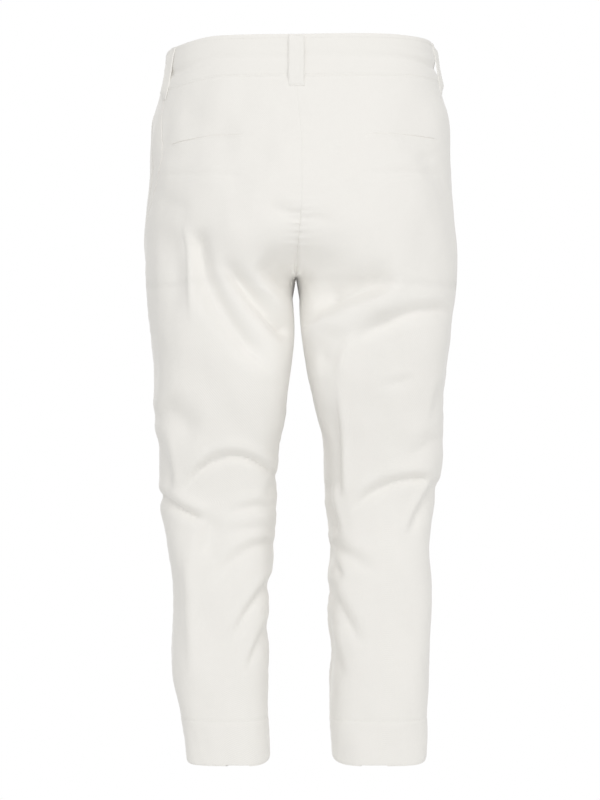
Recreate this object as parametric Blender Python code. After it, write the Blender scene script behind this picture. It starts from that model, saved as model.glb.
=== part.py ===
"""Capri pants, worn and hollow, as faceted solids in metres.

Frame: +Z up, -Y is the wearer's front, +X the wearer's left. The origin is the middle of the
waistband ring, where the wearer's waist holds the garment.

The cloth follows one outer surface. A point on it has a side (+1 left, -1 right), a drop, measured
down the side seam from the origin, and a place round that side: 0 at the centre back, 0.5 at the
side, 1 at the centre front. Below the crotch the same number runs round the leg, from the inseam
over the back to the outer side and by the front back to the inseam. Each quarter is one cubic
Bezier curve, and the tables give the sizes that its four control points are worked out from.
"""

import bmesh
import bpy
import numpy as np
from mathutils import Matrix, Vector

# Cloth and sewing sizes.
CLOTH = 0.0012  # one layer of stretch twill, with its own stiffness
HEM_CLOTH = 0.0020  # two layers where the hem is turned up
BAND_CLOTH = 0.0024  # waistband: two layers and the interlining between them
LOOP_CLOTH = 0.0014  # a belt loop is a folded strip
WELT_CLOTH = 0.0010
SEAM_GAP = 0.0003
BAND_PROUD = 0.0006  # how far the waistband stands out from the surface of the panels

# Heights, all as a drop from the origin.
BAND_HALF_HEIGHT = 0.0235
WAIST_SEAM = BAND_HALF_HEIGHT
POCKET_END = 0.195
CROTCH = 0.256
HEM_TOP = 0.737
HEM = 0.787

# The waist dips at the wearer's left side, rises a little at the right one, and sits lower at the
# front than at the back.
LEFT_DIP = 0.0085
RIGHT_RISE = 0.0030
FRONT_DIP = 0.018

CLOTH_COLOUR = (0.86, 0.85, 0.82, 1.0)
BUTTON_COLOUR = (0.80, 0.79, 0.75, 1.0)

# Sections of the body. side_z is the height at the side. The centre seam is given twice, for the
# back and for the front, by its height, its place in Y and the handle that leaves it, in X and Y.
# side_back and side_front are the handles at the side, along Y.
TORSO_COLUMNS = (
    "side_z", "left_x", "right_x", "centre_x", "side_y",
    "back_z", "back_y", "back_reach_x", "back_reach_y", "side_back",
    "front_z", "front_y", "front_reach_x", "front_reach_y", "side_front",
)
TORSO = {
    "waist top":  (0.0235, 0.1515, -0.1500, 0.0040, 0.000, 0.0235, 0.1040, 0.104, 0.000, 0.068,
                   0.0235, -0.1040, 0.092, 0.000, 0.062),
    "waist seam": (-0.0235, 0.1590, -0.1580, 0.0040, 0.000, -0.0235, 0.1075, 0.105, 0.000, 0.070,
                   -0.0235, -0.1075, 0.093, 0.000, 0.064),
    "high hip":   (-0.065, 0.1680, -0.1678, 0.0010, 0.001, -0.065, 0.1185, 0.106, 0.000, 0.074,
                   -0.068, -0.1120, 0.095, 0.000, 0.066),
    "pocket":     (-0.105, 0.1716, -0.1712, -0.0020, 0.002, -0.105, 0.1300, 0.107, 0.000, 0.078,
                   -0.108, -0.1155, 0.096, 0.000, 0.068),
    "hip":        (-0.150, 0.1743, -0.1750, -0.0020, 0.003, -0.148, 0.1380, 0.105, 0.001, 0.085,
                   -0.150, -0.1150, 0.096, 0.000, 0.074),
    "seat":       (-0.190, 0.1765, -0.1768, 0.0000, 0.004, -0.184, 0.1370, 0.094, 0.006, 0.094,
                   -0.183, -0.1100, 0.092, -0.003, 0.086),
    "low seat":   (-0.215, 0.1768, -0.1775, 0.0020, 0.004, -0.207, 0.1270, 0.075, 0.020, 0.110,
                   -0.207, -0.0990, 0.078, -0.015, 0.106),
    "fork":       (-0.232, 0.1766, -0.1778, 0.0035, 0.004, -0.224, 0.1060, 0.045, 0.045, 0.130,
                   -0.2250, -0.0780, 0.048, -0.044, 0.121),
    "cleft":      (-0.245, 0.1762, -0.1776, 0.0042, 0.004, -0.2378, 0.0700, 0.014, 0.084, 0.146,
                   -0.2378, -0.0480, 0.016, -0.084, 0.134),
    "crotch":     (-0.256, 0.1755, -0.1770, 0.0045, 0.004, -0.2450, 0.0020, 0.001, 0.153, 0.158,
                   -0.2450, 0.0020, 0.001, -0.146, 0.143),
}

# Sections of each leg: its height, its inner and outer side, the Y of its two sides, and how far
# back and front it reaches.
LEG_COLUMNS = ("z", "inner_x", "outer_x", "side_y", "back_y", "front_y")
LEFT_LEG = {
    "inner thigh": (-0.268, 0.0062, 0.1742, 0.002, 0.117, -0.106),
    "thigh":       (-0.300, 0.0048, 0.1690, 0.001, 0.111, -0.104),
    "mid thigh":   (-0.345, 0.0110, 0.1640, -0.001, 0.100, -0.099),
    "low thigh":   (-0.395, 0.0185, 0.1655, -0.002, 0.086, -0.090),
    "over knee":   (-0.440, 0.0262, 0.1612, -0.004, 0.073, -0.083),
    "knee":        (-0.487, 0.0262, 0.1590, -0.006, 0.062, -0.075),
    "under knee":  (-0.535, 0.0290, 0.1510, -0.003, 0.060, -0.065),
    "calf":        (-0.600, 0.0352, 0.1470, 0.003, 0.065, -0.056),
    "low calf":    (-0.665, 0.0376, 0.1455, 0.005, 0.066, -0.053),
    "hem top":     (-0.737, 0.0358, 0.1368, 0.004, 0.061, -0.053),
    "hem":         (-0.787, 0.0362, 0.1305, 0.003, 0.059, -0.054),
}
RIGHT_LEG = {
    "inner thigh": (-0.268, 0.0030, -0.1752, 0.002, 0.117, -0.106),
    "thigh":       (-0.300, 0.0004, -0.1712, 0.001, 0.111, -0.104),
    "mid thigh":   (-0.345, -0.0080, -0.1648, -0.001, 0.100, -0.099),
    "low thigh":   (-0.395, -0.0164, -0.1630, -0.002, 0.086, -0.090),
    "over knee":   (-0.440, -0.0250, -0.1608, -0.004, 0.073, -0.083),
    "knee":        (-0.487, -0.0262, -0.1545, -0.006, 0.062, -0.075),
    "under knee":  (-0.535, -0.0325, -0.1488, -0.003, 0.060, -0.065),
    "calf":        (-0.600, -0.0322, -0.1468, 0.003, 0.065, -0.056),
    "low calf":    (-0.665, -0.0362, -0.1465, 0.005, 0.066, -0.053),
    "hem top":     (-0.737, -0.0345, -0.1445, 0.004, 0.061, -0.053),
    "hem":         (-0.787, -0.0362, -0.1440, 0.003, 0.059, -0.054),
}

# Where the side seam lies round the body, at a drop. The left one shows from behind at the hip.
SEAM_PLACE = {
    "drop":  (0.010, 0.100, 0.150, 0.200, 0.300, 0.800),
    "left":  (0.385, 0.350, 0.395, 0.455, 0.490, 0.495),
    "right": (0.485, 0.490, 0.492, 0.495, 0.500, 0.500),
}

# The largest folds, as troughs between two points seen from behind, bowed up at their middle.
# side is +1 on the back and -1 on the front.
FOLD_COLUMNS = ("side", "from_x", "from_z", "to_x", "to_z", "bow", "width", "depth")
FOLDS = {
    "under seat right":  (1, -0.005, -0.255, -0.105, -0.238, 0.004, 0.016, 0.0050),
    "under seat left":   (1, 0.085, -0.215, 0.012, -0.285, -0.004, 0.014, 0.0045),
    "outer seat left":   (1, 0.108, -0.205, 0.035, -0.325, -0.012, 0.014, 0.0040),
    "thigh right":       (1, -0.070, -0.300, -0.150, -0.282, 0.006, 0.015, 0.0030),
    "knee left":         (1, 0.130, -0.468, 0.032, -0.455, 0.020, 0.013, 0.0050),
    "knee right":        (1, -0.060, -0.492, -0.145, -0.462, 0.006, 0.013, 0.0050),
    "outer knee left":   (1, 0.155, -0.480, 0.108, -0.505, 0.000, 0.013, 0.0050),
    "lap left":          (-1, 0.012, -0.232, 0.120, -0.190, -0.006, 0.015, 0.0040),
    "lap right":         (-1, -0.006, -0.235, -0.115, -0.200, -0.006, 0.015, 0.0040),
    "front knee left":   (-1, 0.045, -0.470, 0.140, -0.455, -0.008, 0.016, 0.0035),
    "front knee right":  (-1, -0.050, -0.480, -0.140, -0.470, -0.008, 0.016, 0.0035),
}

# Slanting front pocket: where its mouth meets the waist seam, as a place on the left and on the
# right side, and the depth of its facing under the front.
POCKET_TOP = {1: 0.600, -1: 0.620}
POCKET_LAYER = CLOTH + SEAM_GAP

# Back pocket welts: from and to give the place round the body, with the drop at both ends.
WELT_COLUMNS = ("side", "from_place", "from_drop", "to_place", "to_drop")
WELTS = {
    "back_welt_left": (1, 0.106, 0.0920, 0.312, 0.0930),
    "back_welt_right": (-1, 0.122, 0.0935, 0.335, 0.0960),
}
WELT_HEIGHT = 0.009
WELT_PROUD = 0.0005

# Belt loops: their side and their place round it.
LOOPS = {
    "belt_loop_back": (1, 0.000),
    "belt_loop_side_left": (1, 0.370),
    "belt_loop_side_right": (-1, 0.470),
    "belt_loop_front_left": (1, 0.765),
    "belt_loop_front_right": (-1, 0.765),
}
LOOP_WIDTH = 0.0125
LOOP_BELOW_SEAM = 0.011
LOOP_STANDS_OFF = 0.0036  # clear gap for a belt, over the waistband
LOOP_RISE = 0.16  # share of the loop's length over which it rises

# Front closing: the right band laps over the left one, and a guard lies behind the fly.
BAND_LAP = 0.060  # places round the body, past the centre front
BAND_UNDERLAP = 0.080
FLY_GUARD_WIDTH = 0.085
FLY_GUARD_DEPTH = 0.0028
FLY_LENGTH = 0.160
FLY_EDGE = 0.012  # the right front runs this far past the centre front
BUTTON_RADIUS = 0.0085
BUTTON_THICKNESS = 0.0026

# Grid of the panels.
PANEL_COLUMNS = 12


def column(table, names, name):
    """One named column of a table of rows."""
    return np.array([row[names.index(name)] for row in table.values()])


def monotone(keys, values, at):
    """Monotone cubic interpolation of values (keys by anything) over rising keys."""
    values = np.asarray(values, float)
    step = np.diff(keys).reshape(-1, *[1] * (values.ndim - 1))
    rise = np.diff(values, axis=0) / step
    same = rise[:-1] * rise[1:] > 0
    weight_a, weight_b = 2 * step[1:] + step[:-1], step[1:] + 2 * step[:-1]
    with np.errstate(divide="ignore", invalid="ignore"):
        inner = (weight_a + weight_b) / (weight_a / rise[:-1] + weight_b / rise[1:])
    slope = np.concatenate([rise[:1], np.where(same, inner, 0.0), rise[-1:]])
    at = np.clip(at, keys[0], keys[-1])
    i = np.clip(np.searchsorted(keys, at, side="right") - 1, 0, len(keys) - 2)
    width = keys[i + 1] - keys[i]
    t = ((at - keys[i]) / width).reshape(-1, *[1] * (values.ndim - 1))
    width = width.reshape(t.shape)
    return (
        (1 + 2 * t) * (1 - t) ** 2 * values[i]
        + t * (1 - t) ** 2 * width * slope[i]
        + t * t * (3 - 2 * t) * values[i + 1]
        + t * t * (t - 1) * width * slope[i + 1]
    )


def smooth_step(low, high, value):
    t = np.clip((value - low) / (high - low), 0.0, 1.0)
    return t * t * (3 - 2 * t)


def control_points(side):
    """Rising drops, and the control points there of the back and the front half sections."""
    def body(name):
        return column(TORSO, TORSO_COLUMNS, name)

    leg = LEFT_LEG if side > 0 else RIGHT_LEG

    def limb(name):
        return column(leg, LEG_COLUMNS, name)

    outer_x = np.concatenate([body("left_x" if side > 0 else "right_x"), limb("outer_x")])
    side_z = np.concatenate([body("side_z"), limb("z")])
    side_y = np.concatenate([body("side_y"), limb("side_y")])
    inner_x = np.concatenate([body("centre_x"), limb("inner_x")])
    halves = []
    for face in ("back", "front"):
        inner_z = np.concatenate([body(face + "_z"), limb("z")])
        inner_y = np.concatenate([body(face + "_y"), limb("side_y")])
        # A half ellipse needs handles of 4/3 of its height.
        bulge = 4 / 3 * (limb(face + "_y") - limb("side_y"))
        sign = 1 if face == "back" else -1
        reach_x = side * np.concatenate([body(face + "_reach_x"), 0 * bulge])
        reach_y = np.concatenate([body(face + "_reach_y"), bulge])
        side_reach = np.concatenate([sign * body("side_" + face), bulge])
        start = np.stack([inner_x, inner_y, inner_z], 1)
        end = np.stack([outer_x, side_y, side_z], 1)
        leave = np.stack([reach_x, reach_y, 0 * reach_x], 1)
        arrive = np.stack([0 * side_reach, side_reach, 0 * side_reach], 1)
        halves.append(np.stack([start, start + leave, end + arrive, end], 1))
    return -side_z, halves[0], halves[1]


CONTROLS = {side: control_points(side) for side in (1, -1)}


def bezier(points, t):
    """Points (n, 4, 3) at t (n)."""
    t = t[:, None]
    return (
        (1 - t) ** 3 * points[:, 0]
        + 3 * (1 - t) ** 2 * t * points[:, 1]
        + 3 * (1 - t) * t * t * points[:, 2]
        + t**3 * points[:, 3]
    )


def wrapped(side, drop, place):
    """Carry a place that runs past the centre line over to the other side, or round the leg."""
    leg = drop > CROTCH - 1e-6
    past_back, past_front = place < 0, place > 1
    over = (past_back | past_front) & ~leg
    side = np.where(over, -side, side)
    place = np.where(past_back, np.where(leg, place + 1, -place), place)
    return side, np.where(past_front, np.where(leg, place - 1, 2 - place), place)


def plain_point(side, drop, place):
    """The surface before its folds, at arrays of side, drop and place."""
    side, place = wrapped(side, drop, place)
    points = np.zeros((len(drop), 3))
    for which, (keys, *halves) in CONTROLS.items():
        for face, half in enumerate(halves):
            chosen = (side == which) & ((place > 0.5) == face)
            t = 2 - 2 * place[chosen] if face else 2 * place[chosen]
            points[chosen] = bezier(monotone(keys, half, drop[chosen]), t)
    high = 1 - smooth_step(0.03, 0.25, drop)
    front = smooth_step(0.02, -0.10, points[:, 1]) * (1 - smooth_step(0.0, 0.20, drop))
    dip = LEFT_DIP * smooth_step(0.09, 0.16, points[:, 0])
    rise = RIGHT_RISE * smooth_step(0.02, -0.12, points[:, 0])
    points[:, 2] += (rise - dip) * high - FRONT_DIP * front
    return points


def outward(side, drop, place):
    """Unit normals of the plain surface, from small steps round and down it."""
    step_place, step_drop = 0.004, 0.002
    around = plain_point(side, drop, place + step_place)
    around -= plain_point(side, drop, place - step_place)
    down = plain_point(side, drop + step_drop, place) - plain_point(side, drop - step_drop, place)
    normal = np.cross(around, down) * side[:, None]
    return normal / np.linalg.norm(normal, axis=1)[:, None]


def fold_depth(points, normals):
    """How far in the folds press the cloth at each point."""
    depth = np.zeros(len(points))
    for row in FOLDS.values():
        fold = dict(zip(FOLD_COLUMNS, row))
        facing = smooth_step(-0.1, 0.4, fold["side"] * normals[:, 1])
        start = np.array([fold["from_x"], fold["from_z"]])
        along = np.array([fold["to_x"], fold["to_z"]]) - start
        flat = points[:, [0, 2]] - start
        t = np.clip(flat @ along / (along @ along), 0, 1)
        line = t[:, None] * along + np.outer(4 * t * (1 - t) * fold["bow"], [0, 1])
        away = np.linalg.norm(flat - line, axis=1)
        taper = np.sin(np.pi * (0.12 + 0.76 * t))
        depth += fold["depth"] * taper * facing * np.exp(-((away / fold["width"]) ** 2))
    return depth


def cloth_point(side, drop, place, out=0.0):
    """Points of the folded surface, moved out along its normals, and the normals."""
    side, drop, place, out = np.broadcast_arrays(float(side), drop, place, out)
    shape = place.shape
    at = side.ravel(), drop.ravel(), place.ravel()
    plain, normals = plain_point(*at), outward(*at)
    points = plain + normals * (out.ravel() - fold_depth(plain, normals))[:, None]
    return points.reshape(*shape, 3), normals.reshape(*shape, 3)


def material(name, colour, roughness):
    made = bpy.data.materials.get(name) or bpy.data.materials.new(name)
    made.use_nodes = True
    shader = made.node_tree.nodes["Principled BSDF"]
    shader.inputs["Base Color"].default_value = colour
    shader.inputs["Roughness"].default_value = roughness
    shader.inputs["Metallic"].default_value = 0.0
    return made


def add_object(name, mesh, finish):
    made = bpy.data.objects.new(name, mesh)
    made.data.materials.append(finish)
    bpy.context.scene.collection.objects.link(made)
    return made


def wall(name, outer, inner, finish):
    """A closed wall between two grids of points with the same rows and columns."""
    rows, columns = outer.shape[:2]
    mesh = bpy.data.meshes.new(name)
    grid = bmesh.new()
    skins = [
        [[grid.verts.new(Vector(point)) for point in row] for row in skin]
        for skin in (outer, inner)
    ]
    for skin in skins:
        for i in range(rows - 1):
            for j in range(columns - 1):
                grid.faces.new((skin[i][j], skin[i][j + 1], skin[i + 1][j + 1], skin[i + 1][j]))
    rim = (
        [(0, j) for j in range(columns)]
        + [(i, columns - 1) for i in range(1, rows)]
        + [(rows - 1, j) for j in range(columns - 2, -1, -1)]
        + [(i, 0) for i in range(rows - 2, 0, -1)]
    )
    for here, there in zip(rim, rim[1:] + rim[:1]):
        a, b = (skins[0][i][j] for i, j in (here, there))
        c, d = (skins[1][i][j] for i, j in (there, here))
        grid.faces.new((a, b, c, d))
    bmesh.ops.recalc_face_normals(grid, faces=grid.faces)
    grid.to_mesh(mesh)
    grid.free()
    return add_object(name, mesh, finish)


def strip_of(name, side, drop, place, out, thickness, finish, gap=SEAM_GAP):
    """A wall whose outer skin lies out from the surface. Its four edges are trimmed back by half
    a seam gap, and edges on the centre seams are also kept clear of the other side in X."""
    points, normals = cloth_point(side, drop, place, out)
    half = gap / 2
    for edge, beside in ((0, 1), (-1, -2)):
        for rows in (points, points.swapaxes(0, 1)):
            towards = rows[beside] - rows[edge]
            rows[edge] += half * towards / np.linalg.norm(towards, axis=1)[:, None]
    drop, place = np.broadcast_arrays(drop, place)
    on_centre = (drop < CROTCH + 1e-6) & ((np.abs(place) < 1e-6) | (np.abs(place - 1) < 1e-6))
    points[on_centre, 0] += side * half
    thickness = np.broadcast_to(thickness, drop.shape)
    return wall(name, points, points - normals * thickness[..., None], finish)


def panel_drops():
    """Drops of a panel's rows: close together round the crotch, wide apart on the leg."""
    return np.concatenate([
        [WAIST_SEAM],
        np.linspace(WAIST_SEAM + LOOP_BELOW_SEAM, POCKET_END, 8),
        np.linspace(POCKET_END, 0.245, 5)[1:],
        [0.2505, CROTCH, 0.262, 0.270, 0.284],
        np.linspace(0.300, HEM_TOP, 17),
        [HEM - 0.025, HEM],
    ])


def side_seam(side, drop):
    name = "left" if side > 0 else "right"
    return monotone(np.array(SEAM_PLACE["drop"]), SEAM_PLACE[name], drop)


def pocket_mouth(side, drop):
    """Where the front ends round the body: at the slanting mouth, or at the side seam below."""
    share = np.clip((POCKET_END - drop) / (POCKET_END - WAIST_SEAM), 0, 1)
    forward = POCKET_TOP[side] - side_seam(side, np.array([WAIST_SEAM]))
    return side_seam(side, drop) + forward * share


def front_places(side, drop):
    """Columns of a front panel at each drop. The right front runs on past the centre front along
    the fly, and the left one stops short of it."""
    mouth = pocket_mouth(side, drop)[:, None]
    fly = np.where(drop < WAIST_SEAM + FLY_LENGTH, FLY_EDGE, 0.0)[:, None]
    return mouth + (1.0 - side * fly - mouth) * np.linspace(0, 1, PANEL_COLUMNS + 1)


def build_panels(side, finish):
    name = "left" if side > 0 else "right"
    drop = panel_drops()
    thickness = np.where(drop > HEM_TOP - 1e-6, HEM_CLOTH, CLOTH)[:, None]
    back = side_seam(side, drop)[:, None] * np.linspace(0, 1, PANEL_COLUMNS + 1)
    strip_of("back_" + name, side, drop[:, None], back, 0.0, thickness, finish)
    front = front_places(side, drop)
    strip_of("front_" + name, side, drop[:, None], front, 0.0, thickness, finish)


def build_facing(side, finish):
    """The side piece that shows in the slanting pocket and runs on under the front."""
    name = "left" if side > 0 else "right"
    drop = panel_drops()
    drop = np.append(drop[drop < POCKET_END - 0.010], POCKET_END - 0.007)
    under = front_places(side, drop)[:, :4]
    seam = side_seam(side, drop)
    edge = under[:, 0] - 0.003
    place = np.column_stack([seam, (seam + edge) / 2, edge, under])
    sunk = -POCKET_LAYER * np.array([0.0, 0.6, 1.0, 1.0, 1.0, 1.0, 1.0])
    strip_of("pocket_facing_" + name, side, drop[:, None], place, sunk, CLOTH, finish)


def build_waistband(side, finish):
    """Half of the waistband. At the front the right one laps over the end of the left one."""
    name = "left" if side > 0 else "right"
    end = 1 + (BAND_UNDERLAP if side > 0 else BAND_LAP)
    seam = side_seam(side, np.array([WAIST_SEAM]))[0]
    mouth = POCKET_TOP[side]
    share = np.linspace(0, 1, PANEL_COLUMNS + 1)
    back = seam * share
    front = mouth + (1.0 - mouth) * share
    facing = np.array([seam, (seam + mouth) / 2])
    place = np.concatenate([back[:-1], facing, front, [(1 + end) / 2, end]])
    drop = np.linspace(-BAND_HALF_HEIGHT, BAND_HALF_HEIGHT, 4)[:, None]
    out = np.full(len(place), BAND_PROUD)
    if side > 0:
        out -= (BAND_CLOTH + 2 * SEAM_GAP) * smooth_step(0.86, 0.915, place)
    strip_of("waistband_" + name, side, drop, place, out, BAND_CLOTH, finish)


def build_loop(name, side, place, finish):
    """A strip sewn down at both ends that stands off the waistband between them."""
    drop = np.concatenate([
        [-BAND_HALF_HEIGHT, -BAND_HALF_HEIGHT + 0.003],
        np.linspace(-BAND_HALF_HEIGHT + 0.007, WAIST_SEAM + 0.001, 5),
        [WAIST_SEAM + 0.005, WAIST_SEAM + 0.008, WAIST_SEAM + LOOP_BELOW_SEAM],
    ])
    share = (drop - drop[0]) / (drop[-1] - drop[0])
    arch = smooth_step(0, LOOP_RISE, share) * smooth_step(1, 1 - LOOP_RISE, share)
    foot = BAND_PROUD * smooth_step(WAIST_SEAM + 0.006, WAIST_SEAM, drop) + SEAM_GAP
    out = foot + LOOP_STANDS_OFF * arch + LOOP_CLOTH
    # Half the loop's width as a place, from a small step round the waist.
    near = cloth_point(side, np.zeros(2), np.array([place, place + 0.01]))[0]
    half = 0.01 * LOOP_WIDTH / 2 / np.linalg.norm(near[1] - near[0])
    places = place + half * np.array([-1.0, 0.0, 1.0])
    strip_of(name, side, drop[:, None], places, out[:, None], LOOP_CLOTH, finish, gap=0.0)


def build_welt(name, row, finish):
    welt = dict(zip(WELT_COLUMNS, row))
    share = np.linspace(0, 1, 9)
    place = welt["from_place"] + (welt["to_place"] - welt["from_place"]) * share
    middle = welt["from_drop"] + (welt["to_drop"] - welt["from_drop"]) * share**2
    drop = middle + WELT_HEIGHT * np.array([[-0.5], [0.5]])
    out = WELT_PROUD + WELT_CLOTH
    strip_of(name, welt["side"], drop, place, out, WELT_CLOTH, finish, gap=0.0)


def build_fly_guard(finish):
    """The strip behind the fly, from the waist seam to just past the fly's foot."""
    drop = np.linspace(WAIST_SEAM, WAIST_SEAM + FLY_LENGTH, 6)[:, None]
    place = 1 + FLY_GUARD_WIDTH * np.linspace(-1.0, 0.6, 5)
    strip_of("fly_guard", 1, drop, place, -FLY_GUARD_DEPTH, CLOTH, finish)


def build_button(finish):
    """A flat button with a rounded rim, on the lapped ends of the waistband."""
    lift = BAND_PROUD + SEAM_GAP
    points, normals = cloth_point(1, np.zeros(1), np.ones(1), lift)
    shape = bmesh.new()
    bmesh.ops.create_cone(
        shape, cap_ends=True, segments=24, depth=BUTTON_THICKNESS,
        radius1=BUTTON_RADIUS, radius2=BUTTON_RADIUS,
    )
    rims = [e for e in shape.edges if len({round(v.co.z, 5) for v in e.verts}) == 1]
    bmesh.ops.bevel(shape, geom=rims, offset=0.0008, segments=1, affect="EDGES")
    mesh = bpy.data.meshes.new("waist_button")
    shape.to_mesh(mesh)
    shape.free()
    button = add_object("waist_button", mesh, finish)
    axis = Vector(normals[0])
    middle = Vector(points[0]) + axis * BUTTON_THICKNESS / 2
    turn = axis.to_track_quat("Z", "Y").to_matrix().to_4x4()
    button.matrix_world = Matrix.Translation(middle) @ turn
    return button


def main():
    for old in list(bpy.data.objects):
        bpy.data.objects.remove(old)
    cloth = material("stretch_twill", CLOTH_COLOUR, 0.85)
    shell = material("button_resin", BUTTON_COLOUR, 0.35)
    for side in (1, -1):
        build_panels(side, cloth)
        build_facing(side, cloth)
        build_waistband(side, cloth)
    for name, (side, place) in LOOPS.items():
        build_loop(name, side, place, cloth)
    for name, row in WELTS.items():
        build_welt(name, row, cloth)
    build_fly_guard(cloth)
    build_button(shell)


main()
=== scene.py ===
# %% [markdown]
# # Capri trousers in off-white stretch twill
#
# A pair of cropped trousers keeps the form of the person who wears it, even when the wearer is
# taken away: a tight round waist, a full seat, and two legs that crease at the crotch and behind
# the knees. This lesson builds them as a tailor's pattern would: panels, waistband, loops, welts
# and stitches are separate thin shells that all follow one mathematical surface.

import bpy
import numpy as np
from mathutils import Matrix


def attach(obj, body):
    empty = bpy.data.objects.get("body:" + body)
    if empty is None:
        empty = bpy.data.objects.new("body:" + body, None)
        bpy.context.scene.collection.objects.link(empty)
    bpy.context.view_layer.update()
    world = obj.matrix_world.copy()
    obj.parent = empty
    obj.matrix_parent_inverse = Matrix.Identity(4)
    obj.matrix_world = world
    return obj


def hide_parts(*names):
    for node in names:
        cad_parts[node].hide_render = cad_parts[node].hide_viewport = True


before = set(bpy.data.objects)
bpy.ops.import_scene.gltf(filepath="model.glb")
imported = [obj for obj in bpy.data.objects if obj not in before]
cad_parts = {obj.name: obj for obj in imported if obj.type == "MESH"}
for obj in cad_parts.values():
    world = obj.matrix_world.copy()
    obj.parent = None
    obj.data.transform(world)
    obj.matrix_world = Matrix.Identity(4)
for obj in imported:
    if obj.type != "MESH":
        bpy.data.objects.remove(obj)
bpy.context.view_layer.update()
scene = bpy.context.scene

# %% [markdown]
# ## Camera, light and floor
#
# White clothes are shown in a bright, nearly shadowless studio. The camera stands behind the
# wearer at half the garment's height, far enough away that the legs don't flare. A white world
# gives the even fill. Two large soft lights, one above and one beside the camera, add just
# enough direction for the folds to read. One in front lights what the camera doesn't see, and
# strips at the sides and a small light below keep the edges and the crotch from going dull. The
# floor is low, pale and out of the way.

# %% Camera behind the wearer
EYE_HEIGHT = -0.3786
EYE_DISTANCE = 2.8
SEEN_HEIGHT = 0.912  # metres that the frame shows at the origin's distance
SENSOR = 36.0

camera_data = bpy.data.cameras.new("studio_camera")
camera_data.sensor_width = SENSOR
camera_data.lens = SENSOR * EYE_DISTANCE / SEEN_HEIGHT
camera = bpy.data.objects.new("studio_camera", camera_data)
camera.location = (0.0, EYE_DISTANCE, EYE_HEIGHT)
camera.rotation_euler = (np.pi / 2, 0.0, np.pi)
scene.collection.objects.link(camera)
scene.camera = camera
print("lens", round(camera_data.lens, 1), "mm")


# %% A helper that wires nodes
class Wire:
    """A socket that takes part in sums: each operator adds the Math node that does it. Sums and
    products are the same either way round, so only 1 - mask needs a reflected form of its own."""

    def __init__(self, nodes, socket):
        self.nodes, self.socket = nodes, socket

    def maths(self, operation, first, second):
        return self.nodes.add("ShaderNodeMath", {"operation": operation}, {0: first, 1: second})

    def __add__(self, other):
        return self.maths("ADD", self, other)

    def __mul__(self, other):
        return self.maths("MULTIPLY", self, other)

    def __sub__(self, other):
        return self.maths("SUBTRACT", self, other)

    def __rsub__(self, other):
        return self.maths("SUBTRACT", other, self)

    __radd__, __rmul__ = __add__, __mul__


class Nodes:
    """A node tree, with one method that adds any node."""

    def __init__(self, owner):
        owner.use_nodes = True
        self.tree = owner.node_tree
        self.tree.nodes.clear()

    def add(self, kind, settings=None, inputs=None, output=0):
        """Add a node: its settings first, then values or wires for its inputs."""
        node = self.tree.nodes.new(kind)
        for name, value in (settings or {}).items():
            setattr(node, name, value)
        for name, value in (inputs or {}).items():
            if isinstance(value, Wire):
                self.tree.links.new(value.socket, node.inputs[name])
            else:
                node.inputs[name].default_value = value
        return Wire(self, node.outputs[output]) if node.outputs else None


# %% World, lights and floor
FILL = 0.60  # light from all round, against 1.0 for the white that the camera sees
world = bpy.data.worlds.new("white_studio")
scene.world = world
sky = Nodes(world)
seen_by_camera = sky.add("ShaderNodeLightPath")
plain = sky.add("ShaderNodeBackground", inputs={"Color": (1, 1, 1, 1), "Strength": 1.0})
warm = (1, 0.995, 0.985, 1)
filling = sky.add("ShaderNodeBackground", inputs={"Color": warm, "Strength": FILL})
mixed = sky.add("ShaderNodeMixShader", inputs={0: seen_by_camera, 1: filling, 2: plain})
sky.add("ShaderNodeOutputWorld", inputs={"Surface": mixed})

LIGHTS = {  # place, what it points at, width and height, power, spread in degrees
    "softbox_above_camera": ((-0.25, 2.6, 1.7), (0.0, 0.0, -0.45), (2.4, 1.4), 32.0, 180),
    "softbox_beside_camera": ((-0.3, 3.0, -0.5), (0.0, 0.0, -0.45), (3.6, 2.2), 15.0, 180),
    "softbox_in_front": ((0.6, -2.8, 1.3), (0.0, 0.0, -0.35), (2.2, 2.2), 44.0, 180),
    "strip_on_the_right": ((-2.6, -0.5, 0.1), (0.0, 0.0, -0.38), (0.8, 2.0), 3.5, 180),
    "strip_on_the_left": ((2.6, -0.9, 0.1), (0.0, 0.0, -0.38), (0.8, 2.0), 2.2, 180),
    "small_light_under_the_seat":
        ((0.0, 0.50, -0.62), (0.0, 0.06, -0.285), (0.07, 0.05), 0.003, 20),
}
for name, (place, target, size, power, spread) in LIGHTS.items():
    light = bpy.data.lights.new(name, "AREA")
    light.shape, light.size, light.size_y = "RECTANGLE", *size
    light.energy, light.spread = power, np.radians(spread)
    lamp = bpy.data.objects.new(name, light)
    lamp.location = place
    away = np.array(place) - np.array(target)
    flat = np.hypot(away[0], away[1])
    lamp.rotation_euler = (np.arctan2(flat, away[2]), 0.0, np.arctan2(away[0], -away[1]))
    scene.collection.objects.link(lamp)

FLOOR_HEIGHT, FLOOR_REACH, FLOOR_CORNERS = -1.25, 2.4, 96
turn = np.linspace(0, 2 * np.pi, FLOOR_CORNERS, endpoint=False)
edge = np.stack([np.cos(turn), np.sin(turn), 0 * turn], 1) * FLOOR_REACH
edge[:, 2] = FLOOR_HEIGHT
floor_mesh = bpy.data.meshes.new("pale_floor")
floor_mesh.from_pydata(edge, [], [tuple(range(FLOOR_CORNERS))])
floor = bpy.data.objects.new("pale_floor", floor_mesh)
scene.collection.objects.link(floor)
pale = bpy.data.materials.new("pale_floor")
paint = Nodes(pale)
centred = paint.add("ShaderNodeTexCoord", output=3)
flattened = paint.add("ShaderNodeVectorMath", {"operation": "MULTIPLY"}, {
    0: centred, 1: (1 / FLOOR_REACH, 1 / FLOOR_REACH, 0.0)})
reach = paint.add("ShaderNodeVectorMath", {"operation": "LENGTH"}, {0: flattened}, output=1)
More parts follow.
